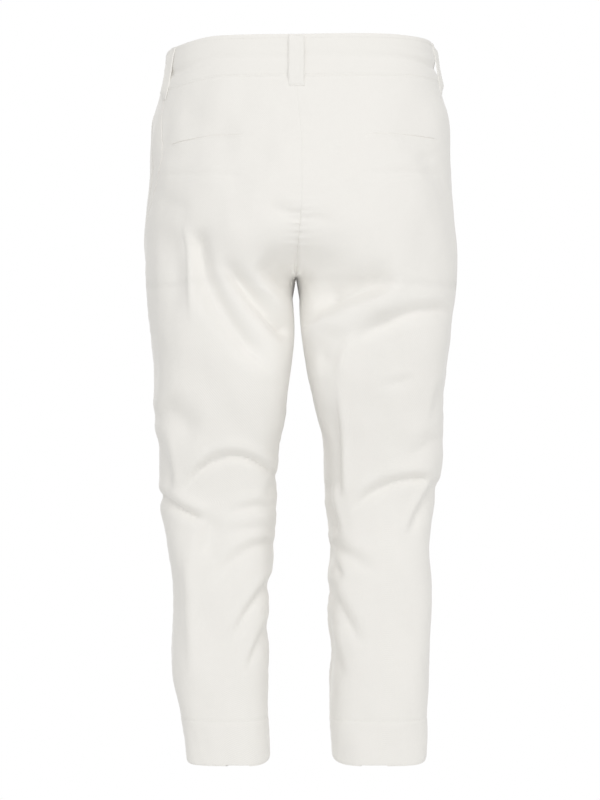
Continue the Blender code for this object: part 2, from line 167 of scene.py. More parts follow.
faded = paint.add("ShaderNodeMapRange", {"interpolation_type": "SMOOTHSTEP"}, {
    "Value": reach, "From Min": 0.45, "From Max": 0.98, "To Min": 1.0, "To Max": 0.0})
ground = paint.add("ShaderNodeBsdfPrincipled", inputs={
    "Base Color": (0.88, 0.88, 0.87, 1), "Roughness": 0.9, "Alpha": faded})
paint.add("ShaderNodeOutputMaterial", inputs={"Surface": ground})
floor_mesh.materials.append(pale)
scene.view_settings.view_transform = "Standard"
scene.view_settings.look = "None"
print("studio ready:", len(LIGHTS), "lights")

# %% [markdown]
# ## Cloth, thread and button
#
# Stretch twill is matt with a faint fuzz. Up close it has fine diagonal ribs, and over a hand's
# width its dye and its handling vary a little. Both come from nodes: the ribs from a wave along
# the piece's own UV map, which holds metres of cloth, and the variation from two noises on
# Object coordinates. The thread is the same white with a harder twist, and the button is resin.


# %% Twill material
def twill_material(name, colour, rib=0.0011, height=0.00012):
    """Matt cloth. Colour = base x (1 + a little of two noises). Height = diagonal ribs, which
    are a sine of u + v, plus fuzz, which is a very fine noise."""
    made = bpy.data.materials.new(name)
    nodes = Nodes(made)
    space = nodes.add("ShaderNodeTexCoord", output=3)
    cloth = nodes.add("ShaderNodeTexCoord", output=2)
    clouds = nodes.add("ShaderNodeTexNoise", inputs={"Vector": space, "Scale": 9.0, "Detail": 3.0})
    slubs = nodes.add("ShaderNodeTexNoise", inputs={
        "Vector": space, "Scale": 420.0, "Detail": 2.0})
    shade = 0.975 + 0.03 * clouds + 0.02 * slubs
    tinted = nodes.add("ShaderNodeVectorMath", {"operation": "SCALE"}, {
        0: colour, "Scale": shade})
    # One turn of the wave texture is 2 pi / 20 of its input at scale 1.
    ribs = nodes.add("ShaderNodeTexWave", {"wave_type": "BANDS", "bands_direction": "DIAGONAL"}, {
        "Vector": cloth, "Scale": 0.314 / rib, "Distortion": 0.6, "Detail": 1.0,
        "Detail Scale": 2.0}, output=1)
    fuzz = nodes.add("ShaderNodeTexNoise", inputs={
        "Vector": space, "Scale": 1400.0, "Detail": 2.0})
    bump = nodes.add("ShaderNodeBump", inputs={
        "Strength": 0.5, "Distance": height, "Height": 0.7 * ribs + 0.6 * fuzz})
    rough = 0.86 + 0.08 * slubs
    surface = nodes.add("ShaderNodeBsdfPrincipled", inputs={
        "Base Color": tinted, "Roughness": rough, "Specular IOR Level": 0.25,
        "Sheen Weight": 0.40, "Sheen Roughness": 0.45, "Normal": bump})
    nodes.add("ShaderNodeOutputMaterial", inputs={"Surface": surface})
    return made


TWILL = twill_material("off_white_twill", (0.868, 0.852, 0.818))
INSIDE = twill_material("off_white_twill_strips", (0.860, 0.845, 0.812), rib=0.0009)


# %% Thread and button materials
def plain_material(name, colour, roughness, grain, **sockets):
    """A smooth finish whose colour varies a little with one noise on Object coordinates."""
    made = bpy.data.materials.new(name)
    nodes = Nodes(made)
    space = nodes.add("ShaderNodeTexCoord", output=3)
    noise = nodes.add("ShaderNodeTexNoise", inputs={"Vector": space, "Scale": grain})
    tinted = nodes.add("ShaderNodeVectorMath", {"operation": "SCALE"}, {
        0: colour, "Scale": 0.95 + 0.1 * noise})
    surface = nodes.add("ShaderNodeBsdfPrincipled", inputs={
        "Base Color": tinted, "Roughness": roughness, **sockets})
    nodes.add("ShaderNodeOutputMaterial", inputs={"Surface": surface})
    return made


THREAD = plain_material("off_white_thread", (0.84, 0.825, 0.79), 0.6, 900.0)
RESIN = plain_material("cream_resin", (0.80, 0.78, 0.73), 0.25, 60.0, **{"Coat Weight": 0.3})
print("materials:", [m.name for m in (TWILL, INSIDE, THREAD, RESIN)])

# %% [markdown]
# ## The surface that all the cloth follows
#
# A tailor describes a body by its girths at a few heights. The tables below do the same: every
# row is a section of the body or of a leg, and its columns are the sizes that the section's
# curve is worked out from. Between the rows a monotone cubic keeps the outline smooth without
# overshooting. Round the body each quarter is one cubic Bezier curve, so the section can be
# round, square or drawn in at the crotch with only four control points.

# %% Section tables, in millimetres
TORSO_COLUMNS = (
    "side_z", "left_x", "right_x", "centre_x", "side_y",
    "back_z", "back_y", "back_reach_x", "back_reach_y", "side_back",
    "front_z", "front_y", "front_reach_x", "front_reach_y", "side_front",
)
TORSO = {
    "waist top": (23.5, 151.5, -150, 4, 0, 23.5, 104, 104, 0, 68, 23.5, -104, 92, 0, 62),
    "waist seam": (-23.5, 159, -158, 4, 0, -23.5, 107.5, 105, 0, 70, -23.5, -107.5, 93, 0, 64),
    "high hip": (-65, 168, -167.8, 1, 1, -65, 118.5, 106, 0, 74, -68, -112, 95, 0, 66),
    "pocket": (-105, 171.6, -171.2, -2, 2, -105, 130, 107, 0, 78, -108, -115.5, 96, 0, 68),
    "hip": (-150, 174.3, -175, -2, 3, -148, 138, 105, 1, 85, -150, -115, 96, 0, 74),
    "seat": (-190, 176.5, -176.8, 0, 4, -184, 137, 94, 6, 94, -183, -110, 92, -3, 86),
    "low seat": (-215, 176.8, -177.5, 2, 4, -207, 127, 75, 20, 110, -207, -99, 78, -15, 106),
    "fork": (-232, 176.6, -177.8, 3.5, 4, -224, 106, 45, 45, 130, -225, -78, 48, -44, 121),
    "cleft": (-245, 176.2, -177.6, 4.2, 4, -240.5, 70, 14, 84, 146, -239.5, -48, 16, -84, 134),
    "crotch": (-256, 175.5, -177, 4.5, 4, -241, 2, 1, 153, 158, -241, 2, 1, -146, 143),
}
LEG_COLUMNS = ("z", "left_inner_x", "left_x", "right_inner_x", "right_x", "side_y", "back_y",
               "front_y")
LEGS = {
    "leg top": (-261, 8, 175, 1.2, -176.3, 3, 118.5, -107),
    "inner thigh": (-268, 9, 174.2, 0.2, -175.2, 2, 117, -106),
    "thigh": (-300, 8, 169, -2.8, -171.2, 1, 111, -104),
    "mid thigh": (-345, 12.2, 164, -9.2, -164.8, -1, 100, -99),
    "low thigh": (-395, 18.5, 165.5, -16.4, -163, -2, 86, -90),
    "over knee": (-440, 26.2, 161.2, -25, -160.8, -4, 73, -83),
    "knee": (-487, 26.2, 159, -26.2, -154.5, -6, 62, -75),
    "under knee": (-535, 29, 151, -32.5, -148.8, -3, 60, -65),
    "calf": (-600, 35.2, 147, -32.2, -146.8, 3, 65, -56),
    "low calf": (-665, 37.6, 145.5, -36.2, -146.5, 5, 66, -53),
    "hem top": (-737, 35.8, 136.8, -34.5, -144.5, 4, 61, -53),
    "hem": (-787, 36.2, 130.5, -36.2, -144, 3, 59, -54),
}
# Drops of the seams in metres below the waistband's middle, then how far the waist dips and
# rises at its sides and front, and how far the hem lifts and from where.
WAIST_SEAM, POCKET_END, CROTCH, HEM_TOP, HEM = 0.0235, 0.195, 0.256, 0.737, 0.787
LEFT_DIP, RIGHT_RISE, FRONT_DIP, HEM_LIFT, LIFT_FROM = 0.0085, 0.0030, 0.018, 0.006, 0.745
SIDES = ((1, "left"), (-1, "right"))
print("sections:", len(TORSO), "of the body,", len(LEGS), "of each leg")


# %% Interpolation and section curves
def monotone(keys, values, at):
    """Monotone cubic through values at rising keys: each slope is the weighted harmonic mean of
    the slopes beside it, and zero at a peak, so the curve never overshoots."""
    values = np.asarray(values, float)
    step = np.diff(keys).reshape(-1, *[1] * (values.ndim - 1))
    rise = np.diff(values, axis=0) / step
    same = rise[:-1] * rise[1:] > 0
    weight_a, weight_b = 2 * step[1:] + step[:-1], step[1:] + 2 * step[:-1]
    with np.errstate(divide="ignore", invalid="ignore"):
        inner = (weight_a + weight_b) / (weight_a / rise[:-1] + weight_b / rise[1:])
    slope = np.concatenate([rise[:1], np.where(same, inner, 0.0), rise[-1:]])
    at = np.clip(at, keys[0], keys[-1])
    i = np.clip(np.searchsorted(keys, at, side="right") - 1, 0, len(keys) - 2)
    width = keys[i + 1] - keys[i]
    t = ((at - keys[i]) / width).reshape(-1, *[1] * (values.ndim - 1))
    width = width.reshape(t.shape)
    return (
        (1 + 2 * t) * (1 - t) ** 2 * values[i]
        + t * (1 - t) ** 2 * width * slope[i]
        + t * t * (3 - 2 * t) * values[i + 1]
        + t * t * (t - 1) * width * slope[i + 1]
    )


def ease(low, high, value):
    """0 below low, 1 above high, and 3t^2 - 2t^3 between them."""
    t = np.clip((value - low) / (high - low), 0.0, 1.0)
    return t * t * (3 - 2 * t)


# %% Control points of the sections
def control_points(side):
    """The drops of the sections of one side, and the four control points of its back and of its
    front quarter at each. A leg's handles are 4/3 of its half depth, as half an ellipse needs."""
    def body(name):
        return np.array([row[TORSO_COLUMNS.index(name)] for row in TORSO.values()]) / 1000

    def limb(name):
        return np.array([row[LEG_COLUMNS.index(name)] for row in LEGS.values()]) / 1000

    def column(name, of_legs):
        return np.concatenate([body(name), limb(of_legs)])

    word = dict(SIDES)[side]
    outer_x, inner_x = column(f"{word}_x", f"{word}_x"), column("centre_x", f"{word}_inner_x")
    side_z, side_y = column("side_z", "z"), column("side_y", "side_y")
    quarters = []
    for face, sign in (("back", 1), ("front", -1)):
        inner_z, inner_y = column(f"{face}_z", "z"), column(f"{face}_y", "side_y")
        bulge = 4 / 3 * (limb(f"{face}_y") - limb("side_y"))
        reach_x = side * np.concatenate([body(f"{face}_reach_x"), 0 * bulge])
        reach_y = np.concatenate([body(f"{face}_reach_y"), bulge])
        side_reach = np.concatenate([sign * body(f"side_{face}"), bulge])
        start = np.stack([inner_x, inner_y, inner_z], 1)
        end = np.stack([outer_x, side_y, side_z], 1)
        leave = np.stack([reach_x, reach_y, 0 * reach_x], 1)
        arrive = np.stack([0 * side_reach, side_reach, 0 * side_reach], 1)
        quarters.append(np.stack([start, leave, arrive, end], 1))
    return -side_z, quarters


# %% Helpers that soften a grid
def blurred(grid, spread):
    """A Gaussian blur down the rows. The grid is first carried on past both ends by turning it
    about its end rows, so that the ends keep their place and slope."""
    reach = int(4 * spread / FINE_STEP)
    kernel = np.exp(-0.5 * (np.arange(-reach, reach + 1) * FINE_STEP / spread) ** 2)
    flat = grid.reshape(len(grid), -1)
    before, after = 2 * flat[:1] - flat[reach:0:-1], 2 * flat[-1:] - flat[-2:-reach - 2:-1]
    padded = np.concatenate([before, flat, after])
    total = sum(w * padded[k:k + len(flat)] for k, w in enumerate(kernel / kernel.sum()))
    return total.reshape(grid.shape)


def squared(side, grid, start, end, share, power=0.68):
    """Carry a half ellipse some way towards a squarer oval: its width from the middle and its
    depth from the line between its ends are both raised to a power below one, which leaves the
    ends where they are."""
    middle = (start[..., 0] + end[..., 0]) / 2
    across = np.abs(end[..., 0] - start[..., 0]) / 2
    u = (grid[..., 0] - middle) / across
    base = (start[..., 1] * (1 - u * side) + end[..., 1] * (1 + u * side)) / 2
    deep = grid[..., 1] - base
    most = np.abs(deep).max(axis=1, keepdims=True)
    v = deep / most
    fuller_u, fuller_v = (np.sign(w) * np.abs(w) ** power for w in (u, v))
    result = grid.copy()
    result[..., 0] += share * (fuller_u - u) * across
    result[..., 1] += share * (fuller_v - v) * most
    return result


# %% The surface at every millimetre
def fine_surface(side):
    """Points of both quarters for every millimetre of drop and 320 steps of t, each on its cubic
    Bezier curve. Two Gaussian blurs down the drop let the sections flow into each other: a light
    one everywhere but on the line t = 0, and a wide one over the top of the thigh. Behind, the
    thighs lean towards each other by up to 5 mm, as flesh does under the seat."""
    keys, quarters = control_points(side)
    drops = np.arange(keys[0], keys[-1] + FINE_STEP / 2, FINE_STEP)
    t = np.linspace(0, 1, FINE_COLUMNS)[:, None]
    away = ease(0.0, 0.10, t)
    thigh = ease(0.185, 0.240, drops) * ease(0.345, 0.285, drops)
    wide = thigh[:, None, None] * ease(0.02, 0.24, t)
    lip = 0.005 * ease(0.258, 0.274, drops) * ease(0.43, 0.33, drops)
    lips = lip[:, None] * (ease(0.0, 0.11, t) * ease(0.60, 0.14, t))[:, 0]
    tables = []
    for face, quarter in enumerate(quarters):
        dense = monotone(keys, quarter, drops)[:, :, None]
        start, leave, arrive, end = (dense[:, k] for k in range(4))
        grid = ((1 - t) ** 3 * start + 3 * (1 - t) ** 2 * t * (start + leave)
                + 3 * (1 - t) * t * t * (end + arrive) + t**3 * end)
        grid = squared(side, grid, start, end, ease(0.236, 0.290, drops)[:, None])
        grid[..., 0] -= side * lips * (face == 0)
        grid += away * (blurred(grid, LIGHT_BLUR) - grid)
        tables.append(grid + wide * (blurred(grid, WIDE_BLUR) - grid))
    return drops, np.stack(tables)


FINE_STEP, FINE_COLUMNS, LIGHT_BLUR, WIDE_BLUR = 0.001, 321, 0.007, 0.020
SURFACE = {side: fine_surface(side) for side, _ in SIDES}
print("surface points:", sum(table.size // 3 for _, table in SURFACE.values()))


# %% Points and normals of the plain surface
def wrapped(side, drop, place):
    """Carry a place past the centre line over to the other side, or on round the same leg."""
    leg = drop > CROTCH - 1e-6
    past_back, past_front = place < 0, place > 1
    over = (past_back | past_front) & ~leg
    side = np.where(over, -side, side)
    place = np.where(past_back, np.where(leg, place + 1, -place), place)
    return side, np.where(past_front, np.where(leg, place - 1, 2 - place), place)


def plain_point(side, drop, place):
    """Read the table of the quarter that the place is on, linearly between its points, with t
    running from the centre or the inseam to the side. Then the waist's dips are added."""
    side, place = wrapped(side, drop, place)
    points = np.zeros((len(drop), 3))
    front = (place > 0.5).astype(int)
    across = np.where(front, 2 - 2 * place, 2 * place) * (FINE_COLUMNS - 1)
    column = np.clip(across.astype(int), 0, FINE_COLUMNS - 2)
    b = (across - column)[:, None]
    for which, (drops, table) in SURFACE.items():
        down = np.clip((drop - drops[0]) / FINE_STEP, 0, len(drops) - 1.001)
        row = down.astype(int)
        a = (down - row)[:, None]
        chosen = side == which
        f, i, j, a_, b_ = front[chosen], row[chosen], column[chosen], a[chosen], b[chosen]
        points[chosen] = ((1 - a_) * ((1 - b_) * table[f, i, j] + b_ * table[f, i, j + 1])
                          + a_ * ((1 - b_) * table[f, i + 1, j] + b_ * table[f, i + 1, j + 1]))
    high = 1 - ease(0.03, 0.25, drop)
    front = ease(0.02, -0.10, points[:, 1]) * (1 - ease(0.0, 0.20, drop))
    dip = LEFT_DIP * ease(0.09, 0.16, points[:, 0])
    rise = RIGHT_RISE * ease(0.02, -0.12, points[:, 0])
    points[:, 2] += (rise - dip) * high - FRONT_DIP * front
    # The hem lifts where it turns round the leg's sides.
    points[:, 2] += HEM_LIFT * ease(LIFT_FROM, HEM, drop) * np.cos(2 * np.pi * place) ** 8
    return points


def outward(side, drop, place):
    """Unit normals: the cross product of small steps round and down the surface."""
    step_place, step_drop = 0.004, 0.002
    around = plain_point(side, drop, place + step_place)
    around -= plain_point(side, drop, place - step_place)
    down = plain_point(side, drop + step_drop, place) - plain_point(side, drop - step_drop, place)
    normal = np.cross(around, down) * side[:, None]
    return normal / np.linalg.norm(normal, axis=1)[:, None]


# %% [markdown]
# ## Folds
#
# Where a body bends, cloth that is too long for the bend rolls into folds. They start at the
# crotch, fan out across the thighs, and cross behind the knees. Each fold here is placed on a
# curved line through three points as seen square from behind or from the front.
# Across the line the cloth follows a trough (a Gaussian), a step (the Gaussian times the
# distance, so that one lip bulges and the other sinks), or some of each. Real folds are uneven,
# so every row has its own width, depth, and fading at both ends.

# %% Fold tables, in millimetres
# Start, middle and end hold X and Z, seen in the plane of the sides. "Up" is the left of the
# line as it runs, so it is above a fold that runs towards +X. A positive step bulges up. The
# fades are shares of the line.
FOLD_COLUMNS = ("start", "middle", "end", "width_up", "width_down", "trough", "step",
                "fade_in", "fade_out")
BACK_FOLDS = {
    "left seat, outer": ((127.5, -292), (132, -240), (137.5, -178), 5.5, 14, 1.8, 4.2, 0.4, 0.25),
    "left seat, long": ((30, -345), (83, -285), (122.5, -188), 10.5, 8.5, 10.6, 1.8, 0.25, 0.08),
    "left seat, inner": ((6, -306), (43, -270), (90, -216), 8.5, 7, 11.6, 2.4, 0.1, 0.3),
    "left seat, lit ridge": ((12, -277), (33, -259), (56, -240), 4.5, 4.5, -2.8, 0, 0.3, 0.4),
    "left fork hollow": ((6, -248), (24, -238), (50, -222), 16, 6, 9.5, 1.6, 0.25, 0.45),
    "right fork hollow": ((-113, -236), (-62, -257), (-10, -272), 17, 5.5, 13.8, 1.6, 0.3, 0.28),
    "right fork ridge": ((-125, -250), (-62, -275), (-2, -301), 6, 16, -8.5, 0, 0.35, 0.15),
    "right thigh, across": ((-170, -272), (-110, -281), (-58, -308), 10, 6.5, 5.4, 3.4, 0.12, 0.4),
    "right thigh, fork": ((-58, -298), (-46, -318), (-35, -354), 16, 8, 2, -3, 0.3, 0.35),
    "right thigh, inner": ((-45.5, -488), (-43, -425), (-37, -348), 5.5, 15, 3, 3.6, 0.12, 0.55),
    "left knee, leaf": ((114, -424), (135, -401), (162, -382), 13, 12, 6.6, 1.4, 0.35, 0.2),
    "left knee, arc": ((26, -461), (77, -440), (134, -477), 7.5, 4.5, 2.6, 3.8, 0.12, 0.3),
    "left knee, outer": ((107, -513), (132, -503), (164, -479), 7, 4.5, 3.4, 4.4, 0.2, 0.12),
    "left knee, outer tail": ((119, -562), (111, -534), (108, -508), 10, 8, 2.6, -2.6, 0.45, 0.25),
    "left knee, side": ((146, -486), (152, -449), (162, -408), 6, 6, 2.6, 3, 0.2, 0.3),
    "left knee, notch": ((20, -450), (32, -474), (44, -497), 4.5, 4.5, 2.2, 1.2, 0.2, 0.5),
    "left knee, faint": ((24, -496), (55, -498), (86, -506), 6, 5, 2.4, 2.2, 0.25, 0.5),
    "left knee, soft": ((24, -519), (65, -523), (102, -530), 8, 6, 1.8, 2.2, 0.3, 0.5),
    "left calf, upper": ((28, -536), (67, -549), (104, -592), 8, 7, 3.4, 3, 0.12, 0.4),
    "left calf, middle": ((28, -573), (55, -611), (84, -656), 6, 5, 3.4, 3, 0.12, 0.45),
    "left calf, lower": ((35, -624), (49, -659), (64, -690), 4.5, 4, 2.8, 2.4, 0.12, 0.45),
    "left calf, outer": ((129, -700), (134, -620), (136, -545), 8, 12, 1, 3.6, 0.3, 0.3),
    "right knee, arc": ((-156, -467), (-100, -472), (-58, -500), 7.5, 4.5, 2.6, 3.6, 0.22, 0.3),
    "right knee, outer": ((-156, -468), (-137, -499), (-119, -540), 5, 6, 2.6, 3.4, 0.15, 0.4),
    "right knee, inner": ((-44, -536), (-36, -506), (-27, -472), 5, 5, 3, 2.6, 0.3, 0.1),
    "right calf, upper": ((-90, -572), (-59, -553), (-30, -539), 9, 7, 2.8, 2.6, 0.4, 0.1),
    "right calf, crisp": ((-51, -586), (-41, -567), (-29, -548), 4.5, 4, 2.2, 1.8, 0.4, 0.1),
    "right calf, middle": ((-74, -660), (-52, -622), (-31, -584), 8.5, 6, 2.8, 2.4, 0.4, 0.08),
    "right calf, lower": ((-51, -696), (-42, -671), (-33, -640), 6, 5, 1.8, 1.8, 0.4, 0.08),
    "right side, high": ((-148, -404), (-154, -379), (-158, -354), 4.5, 4.5, 1.2, -1.2, 0.4, 0.3),
    "right side, low": ((-160, -415), (-139, -428), (-117, -446), 11, 8, 2.2, 1.6, 0.25, 0.5),
    "right thigh, faint": ((-135, -348), (-112, -354), (-88, -358), 6, 6, 0.8, 1.2, 0.5, 0.5),
    "seat dimple, left": ((-4, -167), (16, -160), (36, -152), 8, 6, 1.6, 1.4, 0.2, 0.5),
    "seat dimple, right": ((-46, -172), (-21, -168), (2, -169), 8, 6, 1.2, 1.2, 0.5, 0.2),
    "pocket bag, left": ((60, -120), (114, -118), (162, -121), 6, 3, 0.3, 0.9, 0.35, 0.2),
    "pocket bag, right": ((-160, -119), (-114, -116), (-64, -119), 6, 3, 0.3, 0.9, 0.2, 0.35),
    "right welt dimple": ((-156, -104), (-147, -99), (-135, -93), 6, 5, 0.8, 0.8, 0.3, 0.5),
    "left pocket drag": ((120, -160), (140, -150), (162, -146), 12, 9, 1, 1.2, 0.5, 0.3),
    "pull mark": ((-48, -88), (-41, -91), (-34, -93), 2.2, 1.8, 0.6, 0.6, 0.4, 0.4),
}
FRONT_FOLDS = {
    "left lap, upper": ((6, -205), (60, -188), (118, -160), 10, 10, 2.2, -2.6, 0.1, 0.6),
    "left lap, lower": ((6, -236), (60, -228), (125, -205), 11, 11, 2.6, -3, 0.1, 0.6),
    "right lap, upper": ((-122, -166), (-62, -192), (-4, -208), 10, 10, 2.2, -2.6, 0.6, 0.1),
    "right lap, lower": ((-130, -214), (-62, -232), (-4, -239), 11, 11, 2.6, -3, 0.6, 0.1),
    "left thigh, drag": ((22, -300), (60, -280), (100, -246), 10, 10, 1.4, 1.6, 0.3, 0.5),
    "right thigh, drag": ((-104, -252), (-64, -284), (-22, -306), 10, 10, 1.4, 1.6, 0.5, 0.3),
    "left knee, above": ((40, -430), (92, -418), (150, -436), 12, 12, 1, -2, 0.3, 0.4),
    "left knee, below": ((34, -508), (90, -520), (150, -500), 9, 9, 1.8, 2.4, 0.25, 0.35),
    "left shin": ((50, -560), (90, -572), (135, -552), 10, 10, 1, 1.8, 0.4, 0.4),
    "right knee, above": ((-146, -440), (-92, -424), (-44, -440), 12, 12, 1, -2, 0.4, 0.3),
    "right knee, below": ((-148, -508), (-90, -528), (-38, -512), 9, 9, 1.8, 2.4, 0.35, 0.25),
    "right shin": ((-132, -566), (-90, -580), (-50, -562), 10, 10, 1, 1.8, 0.4, 0.4),
}
print("folds:", len(BACK_FOLDS), "behind,", len(FRONT_FOLDS), "in front")


# %% How deep the folds are at each point
def seen_plane(points, face):
    """Where points appear in the plane of the sides, for an eye behind (+1) or in front (-1):
    each is carried along its line of sight, which scales X and Z by D / (D - face Y)."""
    scale = EYE_DISTANCE / (EYE_DISTANCE - face * points[:, 1])
    return points[:, 0] * scale, EYE_HEIGHT + (points[:, 2] - EYE_HEIGHT) * scale


def fold_height(points, normals):
    """The sum of all folds. In each fold's own axes, t runs from 0 to 1 along the chord and the
    line is a parabola through the middle point. With s the distance from the line over the
    width, the height is -trough G + step s G sqrt(e), where G = exp(-s^2 / 2), faded at both
    ends of t and where the cloth turns away from the eye. The width differs above and below."""
    height = np.zeros(len(points))
    for face, table in ((1, BACK_FOLDS), (-1, FRONT_FOLDS)):
        x, z = (1000 * run for run in seen_plane(points, face))
        # At the fork folds must die out before the cloth turns under, or its seams would open.
        fork = ease(-360, -310, z) * ease(100, 60, np.abs(x))
        facing = ease(-0.45 + 0.50 * fork, 0.30 + 0.20 * fork, face * normals[:, 1])
        for row in table.values():
            fold = dict(zip(FOLD_COLUMNS, row))
            start, middle, end = (np.array(fold[k]) for k in ("start", "middle", "end"))
            chord = end - start
            length = np.hypot(*chord)
            along, across = chord / length, np.array([-chord[1], chord[0]]) / length
            top, bow = (middle - start) @ along / length, (middle - start) @ across
            t = ((x - start[0]) * along[0] + (z - start[1]) * along[1]) / length
            near = (t > -0.1) & (t < 1.1) & (facing > 0)
            t = t[near]
            off = (x[near] - start[0]) * across[0] + (z[near] - start[1]) * across[1]
            off -= bow * t * (1 - t) / (top * (1 - top))
            s = off / np.where(off > 0, fold["width_up"], fold["width_down"])
            fade = ease(-0.05, fold["fade_in"], t)
            fade = fade * ease(1.05, 1 - fold["fade_out"], t)
            bell = np.exp(-s * s / 2)
            shape = -fold["trough"] * bell + fold["step"] * s * bell * np.sqrt(np.e)
            height[near] += shape * fade * facing[near]
    return height / 1000


# %% [markdown]
# ## Small life in the cloth
#
# Between its folds washed cotton is never quite flat. Sums of sines in random directions give
# slow swells, a few centimetres long. Along the seams the thread draws the cloth up a little,
# which leaves short puckers across the seam that die out within a finger's width.

# %% Swells and seam puckers
rng = np.random.default_rng(7)
SWELLS = []  # wave vectors, phases and heights
for wavelength, height, count in ((0.11, 0.00055, 10), (0.045, 0.00016, 14), (0.016, 0.00003, 12)):
    for _ in range(count):
        way = rng.normal(size=3) * (1.0, 1.0, 0.75)
        way *= 2 * np.pi / (wavelength * rng.uniform(0.7, 1.4) * np.linalg.norm(way))
        SWELLS.append((way, rng.uniform(0, 2 * np.pi), height))

PUCKERS = {  # seam, from and to which drop, wavelength, reach and height in metres
    "seat seam":     ("centre back", 0.165, 0.235, 0.0095, 0.0120, 0.00085),
    "upper seat":    ("centre back", 0.030, 0.150, 0.0120, 0.0060, 0.00012),
    "front fork":    ("centre front", 0.175, 0.250, 0.0100, 0.0080, 0.00035),
    "inseam":        ("inseam", 0.262, 0.780, 0.0130, 0.0070, 0.00022),
    "side seam":     ("side", 0.030, 0.780, 0.0150, 0.0060, 0.00018),
}
SEAM_PLACE = {
    "drop":  (-0.030, 0.010, 0.100, 0.150, 0.200, 0.300, 0.800),
    "left":  (0.385, 0.385, 0.350, 0.400, 0.470, 0.490, 0.495),
    "right": (0.485, 0.485, 0.490, 0.492, 0.495, 0.500, 0.500),
}


def side_seam(side, drop):
    """The place of the side seam, from the table by a monotone cubic."""
    keys = np.array(SEAM_PLACE["drop"])
    left, right = (monotone(keys, SEAM_PLACE[word], drop) for word in ("left", "right"))
    return np.where(np.asarray(side) > 0, left, right)


# %% Height of the swells and puckers
def round_length(drop):
    """About how long one whole run of place is, in metres: half the waist or hips above the
    crotch and the whole leg below it."""
    return np.interp(drop, (-0.03, 0.15, 0.25, 0.27, 0.45, 0.60, 0.80),
                     (0.41, 0.49, 0.52, 0.56, 0.46, 0.39, 0.33))


def swell_height(points):
    """The sum of height x sin(wave vector . point + phase)."""
    return sum(height * np.sin(points @ way + phase) for way, phase, height in SWELLS)


def pucker_height(side, drop, place):
    """For each seam, sin along it with a phase that drifts, times a Gaussian of the distance."""
    nowhere = 9.0  # the place of a seam that isn't at this height: too far off to count
    seams = {
        "centre back": np.where(drop < CROTCH, place, nowhere),
        "centre front": np.where(drop < CROTCH, 1 - place, nowhere),
        "inseam": np.where(drop > CROTCH, np.minimum(place, 1 - place), nowhere),
        "side": place - side_seam(side, drop),
    }
    height = np.zeros(len(drop))
    for k, (seam, low, high, wavelength, reach, size) in enumerate(PUCKERS.values()):
        away = seams[seam] * round_length(drop)
        drift = 1.7 * np.sin(drop / 0.031 + k) + 0.9 * np.sin(drop / 0.0117 + 2 * k + side)
        window = ease(low - 0.01, low + 0.02, drop) * ease(high + 0.01, high - 0.02, drop)
        wave = np.sin(2 * np.pi * drop / wavelength + drift + 60 * away)
        height += size * window * wave * np.exp(-((away / reach) ** 2))
    return height


# %% The finished surface
GAP_MIDDLE = 0.003  # X of the middle of the gap between the thighs


def cloth(side, drop, place, out=0.0, lively=1.0):
    """Points of the finished surface: the plain one plus its normal times (out + folds + swells
    + puckers). The last two die out between the legs, which nearly touch. Returns the points and
    those normals, in the shape of the grid."""
    side, drop, place, out, lively = np.broadcast_arrays(float(side), drop, place, out, lively)
    shape = place.shape
    at = side.ravel(), drop.ravel(), place.ravel()
    plain, normals = plain_point(*at), outward(*at)
    high = 0.35 + 0.65 * ease(0.02, 0.06, at[1])
    gap = ease(0.024, 0.010, np.abs(plain[:, 0] - GAP_MIDDLE))
    gap *= ease(-0.37, -0.32, plain[:, 2]) * ease(-0.225, -0.240, plain[:, 2])
    small = high * swell_height(plain) + pucker_height(*at)
    height = fold_height(plain, normals) + (1 - gap) * small
    points = plain + normals * (out.ravel() + lively.ravel() * height)[:, None]
    return points.reshape(*shape, 3), normals.reshape(*shape, 3)


# %% [markdown]
# ## Thin shells
#
# Every piece of cloth is a thin closed shell: an outer grid, an inner grid one thickness further
# in, and a rim that joins them. At a seam the two edges turn in towards each other, which is the
# fine valley that a pressed seam shows. The UV map holds metres of cloth, so that the ribs of the
# twill have the same size on every piece.


# %% Build a shell from grids
def grid_normals(points):
    """Unit normals of a grid: the cross product of its differences down and along the rows."""
    down, along = np.gradient(points, axis=0), np.gradient(points, axis=1)
    normal = np.cross(along, down)
    return normal / np.maximum(np.linalg.norm(normal, axis=2), 1e-12)[..., None]


def run_length(points, axis):
    """Distances added up along one axis of a grid, starting at 0."""
    steps = np.linalg.norm(np.diff(points, axis=axis), axis=2)
    start = np.zeros_like(np.take(steps, [0], axis=axis))
    return np.cumsum(np.concatenate([start, steps], axis=axis), axis=axis)


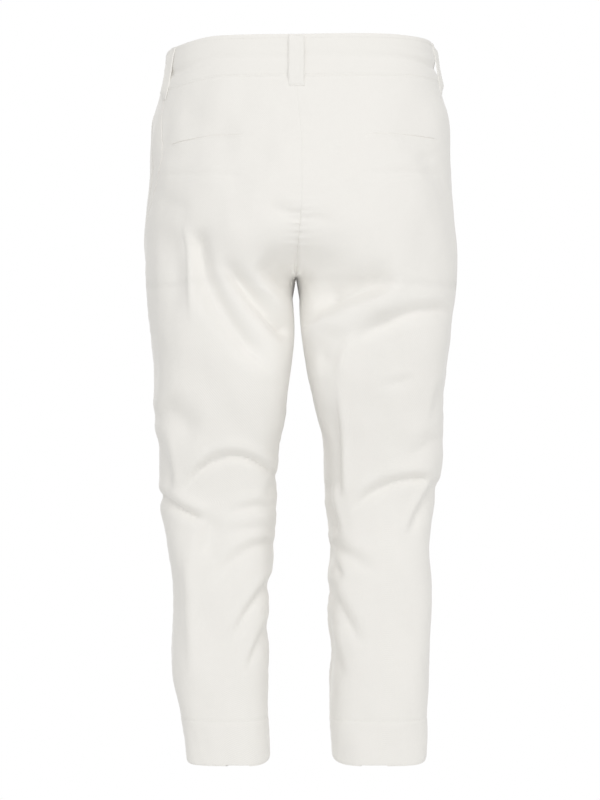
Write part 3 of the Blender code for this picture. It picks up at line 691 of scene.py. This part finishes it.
def shell(name, outer, inner, finish, grain):
    """A closed mesh of two grids and their rim. The normals point away from the inner grid."""
    rows, columns = outer.shape[:2]
    index = np.arange(rows * columns).reshape(rows, columns)
    quads = np.stack([index[:-1, :-1], index[:-1, 1:], index[1:, 1:], index[1:, :-1]], -1)
    top = quads.reshape(-1, 4)
    bottom = top[:, ::-1] + rows * columns
    rim = np.concatenate([index[0, :-1], index[:-1, -1], index[-1, :0:-1], index[:0:-1, 0]])
    after = np.roll(rim, -1)
    sides = np.stack([after, rim, rim + rows * columns, after + rows * columns], -1)
    faces = np.concatenate([top, bottom, sides])
    middle = (rows // 2, columns // 2)
    across = grid_normals(outer)[middle] @ (outer[middle] - inner[middle])
    if across > 0:  # the grid's own normals point out, against the order of the faces
        faces = faces[:, ::-1]
    mesh = bpy.data.meshes.new(name)
    vertices = np.concatenate([outer.reshape(-1, 3), inner.reshape(-1, 3)])
    mesh.from_pydata(vertices, [], faces)
    u, v = run_length(outer, 1).ravel(), run_length(outer, 0).ravel()
    cos, sin = np.cos(grain), np.sin(grain)
    uv = np.stack([u * cos - v * sin, u * sin + v * cos], 1)
    layer = mesh.uv_layers.new(name="cloth")
    corners = np.empty(len(mesh.loops), np.int64)
    mesh.loops.foreach_get("vertex_index", corners)
    layer.uv.foreach_set("vector", uv[corners % (rows * columns)].astype(np.float32).ravel())
    mesh.materials.append(finish)
    mesh.shade_smooth()
    mesh.set_sharp_from_angle(angle=np.radians(50))
    return mesh


def finished(name, mesh, node=None):
    """Link a mesh, hide the CAD part that it stands for, and let it ride on the root."""
    piece = bpy.data.objects.new(name, mesh)
    scene.collection.objects.link(piece)
    if node:
        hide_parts(node)
    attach(piece, "root")
    print(name, "with", len(mesh.polygons), "faces")
    return piece


# %% Edges, and a piece of cloth
def clustered(count, fine=(0.0, 0.0022, 0.0050, 0.0090, 0.0150)):
    """Shares from 0 to 1: a few close to each end, where the edge turns in, and even between."""
    fine = np.array(fine)
    return np.concatenate([fine, np.linspace(fine[-1], 1 - fine[-1], count)[1:-1], 1 - fine[::-1]])


def turned_in(away, depth=0.0007, reach=0.0012):
    """How far an edge turns in or a groove sinks: depth x exp(-(distance / reach)^2)."""
    return depth * np.exp(-((away / reach) ** 2))


def cloth_piece(name, outer, normals, thick, node, held="hung", finish=TWILL, grain=0.0):
    """A shell with its inner grid at outer - normal x thick, made into a finished piece."""
    inner = outer - normals * np.asarray(thick)[..., None]
    made = finished(name, shell(name, outer, inner, finish, grain), node=node)


# %% [markdown]
# ## Leg panels
#
# Two backs and two fronts run from the waist seam to the hem. The side seam curves back over the
# hip, as the pattern has it, and the front leaves the seam at the waist for the slanting pocket.
# The hem is turned up five centimetres and stitched, so the cloth is thicker there and the
# stitching draws a shallow line round the leg.

# %% Where the pocket mouths and slits run
POCKET_TOP = {1: 0.505, -1: 0.600}


def pocket_mouth(side, drop):
    """Where the front begins: straight from its place at the waist seam to the side seam."""
    share = np.clip((POCKET_END - drop) / (POCKET_END - WAIST_SEAM), 0, 1)
    forward = POCKET_TOP[side] - side_seam(side, np.array([WAIST_SEAM]))
    return side_seam(side, drop) + forward * share


GROOVE_RISE, GROOVE_WIDTH = 0.0005, 0.00065
WELT_COLUMNS = ("side", "from_place", "from_drop", "to_place", "to_drop", "bow")
WELTS = {
    "welt_left": (1, 0.106, 0.0888, 0.312, 0.0900, -0.0008),
    "welt_right": (-1, 0.122, 0.0900, 0.335, 0.0922, -0.0010),
}


def slit_line(welt, place):
    """The drop of a welt pocket's slit: nearly straight from end to end, with a slight bow."""
    share = (place - welt["from_place"]) / (welt["to_place"] - welt["from_place"])
    along = np.clip(share, 0, 1)
    straight = welt["from_drop"] + (welt["to_drop"] - welt["from_drop"]) * along**2
    return share, straight + 4 * along * (1 - along) * welt["bow"]


def slit_groove(side, drop, place):
    """The slit draws in a fine groove just above the welt: depth x exp(-(distance / width)^2),
    deeper in its outer half."""
    groove = 0.0
    for row in WELTS.values():
        welt = dict(zip(WELT_COLUMNS, row))
        share, line = slit_line(welt, place)
        along = ease(-0.02, 0.10, share) * ease(1.02, 0.94, share)
        deep = 0.0003 + 0.0007 * ease(0.35, 0.70, share)
        near = turned_in(drop - line + GROOVE_RISE, deep, GROOVE_WIDTH)
        groove = groove + (welt["side"] == side) * along * near * (place < 0.5)
    return groove


# %% Hem and panels
CLOTH, HEM_CLOTH, SEAM_GAP = 0.0010, 0.0020, 0.00006
FLY_END, FLY_EDGE = 0.185, 0.012
ROWS, COLUMNS = 280, 124


def hem_line(drop, place):
    """The stitched hem: a shallow draw-in at the stitching and slanting ripples below it."""
    stitched = turned_in(drop - HEM_TOP, 0.0005, 0.0016)
    below = ease(HEM_TOP, HEM_TOP + 0.008, drop)
    ripple = 0.00007 * np.sin(2 * np.pi * (place * 17 + drop / 0.06)) * below
    ripple = ripple + 0.00012 * np.sin(2 * np.pi * (place * 5.3 + drop / 0.11)) * below
    fuller = 0.0003 * ease(HEM_TOP - 0.004, HEM_TOP + 0.004, drop)
    return ripple + fuller - stitched


def panel(name, side, drop, place, node):
    """One leg panel: the surface with its edges turned in at the seams and at the hem fold."""
    drop = drop[:, None] + 0 * place
    rough, _ = cloth(side, drop, place, 0.0, 0.0)
    from_start = run_length(rough, 1)
    from_end = from_start[:, -1:] - from_start
    firm = 0.35 + 0.65 * ease(0.16, 0.22, drop)
    turn = turned_in(from_start) * (firm if name.startswith("back") else 1.0) + turned_in(from_end)
    turn += turned_in(HEM - drop, 0.0006, 0.0009) + turned_in(drop - WAIST_SEAM, 0.0002, 0.0010)
    groove = slit_groove(side, drop, place)
    outer, plain = cloth(side, drop, place, hem_line(drop, place) - turn - groove)
    for edge, beside in ((0, 1), (-1, -2)):
        towards = outer[:, beside] - outer[:, edge]
        outer[:, edge] += SEAM_GAP / 2 * towards / np.linalg.norm(towards, axis=1)[:, None]
    thick = CLOTH + (HEM_CLOTH - CLOTH) * ease(HEM_TOP - 0.001, HEM_TOP + 0.001, drop)
    thick -= 0.8 * turned_in(HEM - drop, 0.0012, 0.0008)
    normals = grid_normals(outer)
    normals *= np.sign((normals * plain).sum(2))[..., None]
    cloth_piece(name, outer, normals, thick, node)


def panel_drops():
    """Rows down a panel, closer together at the waist seam, the hem stitching and the fold."""
    even = np.linspace(WAIST_SEAM, HEM, ROWS)
    extra = [WAIST_SEAM + 0.0008, HEM_TOP - 0.001, HEM_TOP + 0.001, HEM - 0.0014, HEM - 0.0005]
    slits = np.arange(0.0868, 0.0936, 0.00035)
    fork = np.arange(0.2380, 0.2680, 0.0010)
    for rows in (slits, fork):
        even = even[(even < rows[0] - 0.0003) | (even > rows[-1] + 0.0003)]
    return np.unique(np.concatenate([even, extra, slits, fork]))


# %% Cut the panels
share, drop = clustered(COLUMNS), panel_drops()
for side, word in SIDES:
    back = side_seam(side, drop)[:, None] * share
    panel(f"back_panel_{word}", side, drop, back, f"back_{word}")
    mouth = pocket_mouth(side, drop)[:, None]
    fly = FLY_EDGE * ease(FLY_END + 0.006, FLY_END - 0.006, drop)[:, None]
    front = mouth + (1.0 - side * fly - mouth) * share
    panel(f"front_panel_{word}", side, drop, front, f"front_{word}")

# %% [markdown]
# ## Pocket facings, fly guard and waistband
#
# The slanting pocket shows a strip of the same twill behind its mouth, and the fly has a guard
# behind it, so that nothing shines through. The waistband is cut in two halves with a seam at
# the centre back. It is firm, so it follows the swells only in part and has two soft creases
# along its length, and its right end laps over its left one at the front.

# %% Facings and fly guard
FACING_CLOTH, FACING_SINK, FACING_HIDDEN = 0.0009, 0.00135, 0.05
GUARD_SINK, GUARD_REACH = 0.0026, 0.085
for side, word in SIDES:
    drop = np.linspace(WAIST_SEAM, POCKET_END - 0.004, 70)
    seam, mouth = side_seam(side, drop)[:, None], pocket_mouth(side, drop)[:, None]
    place = seam + (mouth + FACING_HIDDEN - seam) * np.linspace(0, 1, 26)
    sink = -FACING_SINK * ease(mouth - 0.010, mouth - 0.002, place)
    strip = cloth(side, drop[:, None], place, sink)
    cloth_piece(f"pocket_facing_strip_{word}", *strip, FACING_CLOTH, f"pocket_facing_{word}")

drop = np.linspace(WAIST_SEAM, FLY_END, 60)[:, None]
strip = cloth(1, drop, 1 + GUARD_REACH * np.linspace(-1.0, 0.6, 20), -GUARD_SINK)
cloth_piece("fly_guard_strip", *strip, CLOTH, "fly_guard", finish=INSIDE)

# %% Waistband halves
BAND_HALF, BAND_CLOTH, BAND_PROUD = 0.0235, 0.0022, 0.0002
BAND_LAP, BAND_UNDERLAP = 0.060, 0.080
BAND_RUN = 0.42  # metres of band for one whole run of place
BAND_LIVELY = 0.8  # share of the folds and swells that the firm band keeps


def band_crease(drop, place, side):
    """Two soft creases along the band: one above its middle and one below, which rise, sink and
    fade as they run, and are deeper towards the sides."""
    line = 0.0030 - 0.0025 * np.cos(7.0 * place) + 0.0012 * np.sin(23 * place + side)
    far = ease(0.10, 0.34, place) * ease(1.0, 0.7, place)
    deep = 0.0006 + 0.0022 * far
    second = 0.0005 * (0.4 + 0.6 * np.sin(11 * place + 2 * side)) * (0.3 + far)
    return -turned_in(drop - line, deep, 0.0052) - turned_in(drop + 0.0085, second, 0.0036)


for side, word in SIDES:
    end = 1 + (BAND_UNDERLAP if side > 0 else BAND_LAP)
    share = clustered(230, fine=(0.0, 0.0006, 0.0014, 0.0026, 0.0045))
    place = (end * share)[None, :]
    rise = clustered(26, fine=(0.0, 0.008, 0.020, 0.040, 0.070))[:, None]
    width = 2 * BAND_HALF
    drop = -BAND_HALF + width * rise
    turn = turned_in(rise * width, 0.0007, 0.0009) + turned_in((1 - rise) * width, 0.0003, 0.0008)
    turn = turn + turned_in(place * BAND_RUN, 0.0005, 0.0010)
    out = BAND_PROUD + band_crease(drop, place, side) - turn
    if side > 0:
        out = out - (BAND_CLOTH + 0.0006) * ease(0.86, 0.915, place)
    outer, normals = cloth(side, drop, place, out, BAND_LIVELY)
    thick = BAND_CLOTH - 1.4 * turned_in(rise * width, 0.0006, 0.0009)
    outer[:, 0, 0] += side * SEAM_GAP / 2
    cloth_piece(f"waistband_half_{word}", outer, normals, thick, f"waistband_{word}",
                "stretched", grain=np.pi / 2)

# %% [markdown]
# ## Belt loops
#
# A belt loop is a strip folded in three and stitched near both edges, so it is thickest along
# its edges. Both ends are turned under and held by a bar of dense stitches. Between the bars it
# stands off the waistband by a belt's thickness, and it leans and twists a little, each its own
# way.

# %% Sizes of the loops
LOOP_COLUMNS = ("side", "place", "lean", "stand_off", "tilt", "node")
LOOPS = {
    "loop_back":        (1, 0.000, 0.000, 0.0007, 0.0, "belt_loop_back"),
    "loop_side_left":   (1, 0.370, 0.006, 0.0016, 1.0, "belt_loop_side_left"),
    "loop_side_right":  (-1, 0.470, -0.004, 0.0018, 1.0, "belt_loop_side_right"),
    "loop_front_left":  (1, 0.765, 0.003, 0.0030, 0.2, "belt_loop_front_left"),
    "loop_front_right": (-1, 0.765, 0.002, 0.0032, -0.2, "belt_loop_front_right"),
}
LOOP_HALF, LOOP_LENGTH, LOOP_CLOTH, LOOP_TAIL, LOOP_LIVELY = 0.0061, 0.058, 0.0011, 0.011, 0.6
print("loops:", len(LOOPS))
STITCHED = []  # runs of stitches to sew later: points and outward normals


# %% Build the loops
def loop_out(share, stand_off, drop):
    """Height of the strip over the panels: the band's own height where the band is under it,
    plus a plateau that rises and falls over a sixth of its length. A tilted loop stands off at
    its front edge only."""
    arch = ease(0.02, 0.17, share) * ease(0.98, 0.83, share)
    foot = BAND_PROUD * ease(WAIST_SEAM + 0.005, WAIST_SEAM - 0.001, drop) + 0.0001
    return foot + stand_off * arch + LOOP_CLOTH


for name, row in LOOPS.items():
    loop = dict(zip(LOOP_COLUMNS, row))
    top, tail = -BAND_HALF + 0.0004, WAIST_SEAM + LOOP_TAIL
    share = clustered(60, fine=(0.0, 0.006, 0.016, 0.03, 0.05))[:, None]
    drop = top + (tail - top) * share
    half = np.array([0.3, 0.56, 0.74, 0.88, 0.96, 1.0])
    across = np.concatenate([-half[::-1], [0.0], half])[None, :]
    per_metre = 1 / round_length(0.0)
    place = loop["place"] + (LOOP_HALF * across + loop["lean"] * (share - 0.5)) * per_metre
    edge = turned_in(np.abs(across) - 0.72, 0.00022, 0.16)
    rounded = 0.0005 * ease(0.86, 1.0, np.abs(across))
    wave = 0.0003 * np.sin(9 * share + loop["side"] + 3 * loop["place"])
    turn = sum(turned_in(away * LOOP_LENGTH, 0.0005, 0.0010) for away in (share, 1 - share))
    lifted = loop["stand_off"] * (1 + loop["tilt"] * across)
    out = loop_out(share, lifted, drop) + edge - rounded + wave * across - turn
    outer, normals = cloth(loop["side"], drop, place, out, LOOP_LIVELY)
    thick = LOOP_CLOTH - 1.2 * rounded - turn
    cloth_piece(name, outer, normals, thick, loop["node"], "stretched", INSIDE, np.pi / 2)
    STITCHED += [(outer[4:-4, column], normals[4:-4, column]) for column in (2, -3)]  # edges
    STITCHED += [(outer[bar, 1:-1], normals[bar, 1:-1]) for bar in (3, -4)]  # bars at both ends

# %% [markdown]
# ## Welt pockets
#
# A welt pocket is a slit with a narrow folded strip standing in it. From a few steps away only
# the slit shows, as a thin dark line with a lit lip. The strip here is proud at its upper edge,
# and its lower edge sinks to the panel, where it is sewn down.

# %% Welts
WELT_HEIGHT = 0.0098
for name, row in WELTS.items():
    welt = dict(zip(WELT_COLUMNS, row))
    share = clustered(90, fine=(0.0, 0.004, 0.010, 0.018, 0.03))[None, :]
    place = welt["from_place"] + (welt["to_place"] - welt["from_place"]) * share
    slit = slit_line(welt, place)[1]
    rise = np.array([0.0, 0.03, 0.07, 0.13, 0.22, 0.36, 0.52, 0.68, 0.82, 0.92, 1.0])[:, None]
    drop = slit + WELT_HEIGHT * rise
    ends = ease(0, 0.10, share) * ease(1, 0.90, share)
    lip = 0.0005 + 0.0007 * ease(0.65, 0.35, share)
    out = lip * (1 - rise) ** 3 * (0.3 + 0.7 * ends) * ease(1.0, 0.6, rise)
    out = out - 0.0002 * ease(0.75, 1.0, rise) - 0.0003 * (1 - ease(0, 0.03, share))
    out = out - 0.0003 * ease(0.97, 1, share) - turned_in(rise * WELT_HEIGHT, 0.0003, 0.0004)
    strip = cloth(welt["side"], drop, place, out)
    cloth_piece(name, *strip, 0.0003 + 0.0006 * (1 - rise), f"back_{name}", "stretched")

# %% [markdown]
# ## Button
#
# The waist button is a turned resin disc with a raised rim and a dished middle. Its profile is
# carried round its axis. The cross of thread that holds it is sewn with the topstitching.

# %% Waist button
PROFILE = np.array([  # radius and height over the button's back, from the middle outwards
    (0.0, 0.0020), (0.0030, 0.0019), (0.0052, 0.0019), (0.0060, 0.0024), (0.0070, 0.0028),
    (0.0079, 0.0027), (0.0084, 0.0021), (0.0085, 0.0013), (0.0083, 0.0005), (0.0074, 0.0001),
    (0.0040, 0.0), (0.0, 0.0)])
seat, axis = (value[0] for value in cloth(1, 0.0, np.ones(1), BAND_PROUD + 0.0003, BAND_LIVELY))
side_way = np.cross([0.0, 0.0, 1.0], axis)
side_way /= np.linalg.norm(side_way)
up_way = np.cross(axis, side_way)
turn = np.linspace(0, 2 * np.pi, 48, endpoint=False)
rings = PROFILE[1:-1]
spokes = np.cos(turn)[:, None] * side_way + np.sin(turn)[:, None] * up_way
ring_points = seat + rings[:, 0, None, None] * spokes + rings[:, 1, None, None] * axis
poles = seat + PROFILE[[0, -1], 1][:, None] * axis
count, around = ring_points.shape[:2]
index = np.arange(count * around).reshape(count, around)
after = np.roll(index, -1, axis=1)
quads = np.stack([index[:-1], index[1:], after[1:], after[:-1]], -1).reshape(-1, 4)
first, last = count * around, count * around + 1
fans = [(first, a, b) for a, b in zip(index[0], after[0])]
fans += [(last, b, a) for a, b in zip(index[-1], after[-1])]
button_mesh = bpy.data.meshes.new("waist_button_disc")
button_mesh.from_pydata(np.concatenate([ring_points.reshape(-1, 3), poles]), [],
                        [*map(tuple, quads), *fans])
button_mesh.materials.append(RESIN)
button_mesh.shade_smooth()
finished("waist_button_disc", button_mesh, "waist_button")

# %% [markdown]
# ## Topstitching
#
# The seams are sewn tone on tone, so stitches are felt more than seen, but they catch light up
# close. Each is a short, slightly sunk capsule of thread. All the runs are cut to equal stitches
# and joined in one mesh.

# %% Lines of stitches
STITCH, SKIP, FIRST_GAP, THREAD_RADIUS = 0.0026, 0.0008, 0.0004, 0.00022
TOP_INSET, FOOT_INSET, MOUTH_INSETS = 0.0045, 0.0025, (0.002, 0.008)
FLY_WIDTH, POCKET_RUN, FLY_RUN = 0.036, 0.44, 0.46  # the runs are metres for one run of place
for side, _ in SIDES:
    end = 1 + (-0.1 if side > 0 else BAND_LAP - 0.004)
    line = np.linspace(0.004, end, 300)
    for height in (-BAND_HALF + TOP_INSET, BAND_HALF - FOOT_INSET):
        crease = band_crease(height, line, side)
        STITCHED.append(cloth(side, height, line, BAND_PROUD + crease))
    line = np.linspace(0.0, 1.0, 260)
    STITCHED.append(cloth(side, HEM_TOP, line, hem_line(HEM_TOP, line)))
    drop = np.linspace(WAIST_SEAM + 0.004, POCKET_END - 0.002, 120)
    mouth = pocket_mouth(side, drop)
    STITCHED += [cloth(side, drop, mouth + inset / POCKET_RUN) for inset in MOUTH_INSETS]
drop = np.linspace(WAIST_SEAM + 0.004, FLY_END, 140)
curve = FLY_WIDTH * np.sqrt(1 - ease(FLY_END - 0.040, FLY_END, drop) ** 2)
STITCHED.append(cloth(-1, drop, 1 - curve / FLY_RUN))
STITCHED.append(cloth(1, drop, 1 - (FLY_EDGE - 0.004)))


# %% Threads
def stitches_along(points, normals):
    """Cut a line into stitches: starts every stitch + skip of its length. Returns the starts,
    ends and normals, read from the line by its running length."""
    steps = np.linalg.norm(np.diff(points, axis=0), axis=1)
    length = np.concatenate([[0.0], np.cumsum(steps)])
    starts = np.arange(FIRST_GAP, length[-1] - STITCH, STITCH + SKIP)

    def read(at, values):
        return np.stack([np.interp(at, length, values[:, k]) for k in range(3)], 1)

    return read(starts, points), read(starts + STITCH, points), read(starts + STITCH / 2, normals)


def thread_mesh(name, starts, ends, ways, sides=6):
    """Capsules: four rings of six points along each stitch. The radius is 0.45, 1, 1, 0.45 of
    the thread's, and the ends dive under the cloth by one radius."""
    along = ends - starts
    along /= np.linalg.norm(along, axis=1)[:, None]
    ways = ways / np.linalg.norm(ways, axis=1)[:, None]
    across = np.cross(along, ways)
    shares = np.array([0.0, 0.22, 0.78, 1.0])
    size = np.array([0.45, 1.0, 1.0, 0.45]) * THREAD_RADIUS
    lift = np.array([-1.1, 0.35, 0.35, -1.1]) * THREAD_RADIUS
    turn = np.linspace(0, 2 * np.pi, sides, endpoint=False)
    centre = starts[:, None] + (ends - starts)[:, None] * shares[:, None]
    centre = centre + ways[:, None] * lift[:, None]
    ring = (np.cos(turn)[:, None] * across[:, None, None]
            + np.sin(turn)[:, None] * ways[:, None, None])
    points = centre[:, :, None] + ring * size[:, None, None]
    total, rings = points.shape[:2]
    index = np.arange(total * rings * sides).reshape(total, rings, sides)
    after = np.roll(index, -1, axis=2)
    quads = np.stack([index[:, :-1], after[:, :-1], after[:, 1:], index[:, 1:]], -1).reshape(-1, 4)
    caps = np.concatenate([index[:, 0, ::-1], index[:, -1]])
    mesh = bpy.data.meshes.new(name)
    mesh.from_pydata(points.reshape(-1, 3), [], [*map(tuple, quads), *map(tuple, caps)])
    mesh.materials.append(THREAD)
    mesh.shade_smooth()
    return mesh


# %% Sew everything
sewn = [stitches_along(points, normals) for points, normals in STITCHED]
# The button is held by a cross: two stitches side by side each way over its middle.
CROSS_REACH, CROSS_SHIFT = 0.0017, 0.0003
arms = np.repeat([side_way, up_way], 2, axis=0) * CROSS_REACH
middles = poles[0] + np.array([up_way, -up_way, side_way, -side_way]) * CROSS_SHIFT
sewn.append((middles - arms, middles + arms, np.tile(axis, (4, 1))))
threads = thread_mesh("topstitching", *(np.concatenate(part) for part in zip(*sewn)))
finished("topstitching", threads)
print("stitches:", sum(len(part[0]) for part in sewn), "in", len(STITCHED), "runs")
